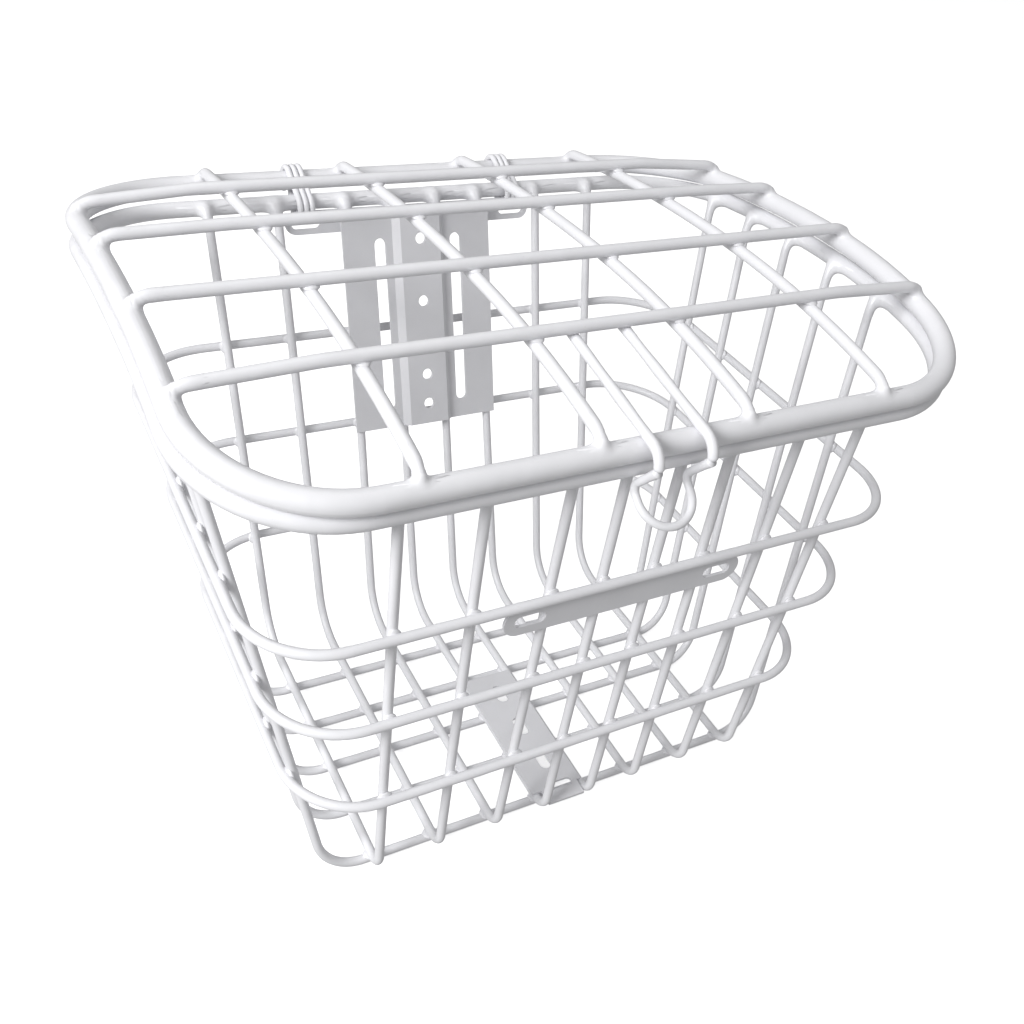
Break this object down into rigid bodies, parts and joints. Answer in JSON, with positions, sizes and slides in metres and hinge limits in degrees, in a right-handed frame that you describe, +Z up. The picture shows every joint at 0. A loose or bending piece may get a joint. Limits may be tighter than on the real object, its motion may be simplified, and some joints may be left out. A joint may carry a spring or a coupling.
{
  "type": "bicycle front basket with hinged lid",
  "caption": "White coated wire bicycle front basket with an arched hinged wire lid, a spring latch and slotted mounting plates.",
  "frame": {"origin": "middle of the bounding box, on the plane the bottom wires stand on", "axes": "+Z up, -Y towards the latch, +Y towards the mounting plate, +X to the right seen from the latch side"},
  "size_m": [0.369, 0.3004, 0.2666],
  "materials": {
    "coated_wire": "satin",
    "coated_sheet": "satin"
  },
  "bodies": {
    "basket": {"basket_rim": "coated_wire", "hoop_lower": "coated_wire", "hoop_middle": "coated_wire", "hoop_upper": "coated_wire", "long_wire_1": "coated_wire", "long_wire_2": "coated_wire", "long_wire_3": "coated_wire", "long_wire_4": "coated_wire", "long_wire_5": "coated_wire", "long_wire_6": "coated_wire", "long_wire_7": "coated_wire", "long_wire_8": "coated_wire", "cross_wire_1": "coated_wire", "cross_wire_2": "coated_wire", "cross_wire_3": "coated_wire", "cross_wire_4": "coated_wire", "cross_wire_5": "coated_wire", "rear_strip": "coated_sheet", "rear_mounting_plate": "coated_sheet", "front_plate": "coated_sheet", "bottom_plate": "coated_sheet", "hinge_coil_left": "coated_wire", "hinge_coil_right": "coated_wire"},
    "lid": {"lid_frame": "coated_wire", "lid_cross_wire_1": "coated_wire", "lid_cross_wire_2": "coated_wire", "lid_cross_wire_3": "coated_wire", "lid_cross_wire_4": "coated_wire", "lid_long_wire_1": "coated_wire", "lid_long_wire_2": "coated_wire", "lid_long_wire_3": "coated_wire", "lid_long_wire_4": "coated_wire", "latch_leg_left": "coated_wire", "latch_leg_right": "coated_wire"},
    "latch": {"latch_loop": "coated_wire"}
  },
  "joints": [
    {"name": "lid_hinge", "type": "hinge", "parent": "basket", "child": "lid", "pos_m": [0, 0.1418, 0.23697], "axis": [-1, 0, 0], "range_deg": [0, 110]},
    {"name": "latch_release", "type": "hinge", "parent": "lid", "child": "latch", "pos_m": [-0.004, -0.1453, 0.23723], "axis": [-1, 0, 0], "range_deg": [0, 22], "stiffness_Nm_per_rad": 0.3}
  ]
}
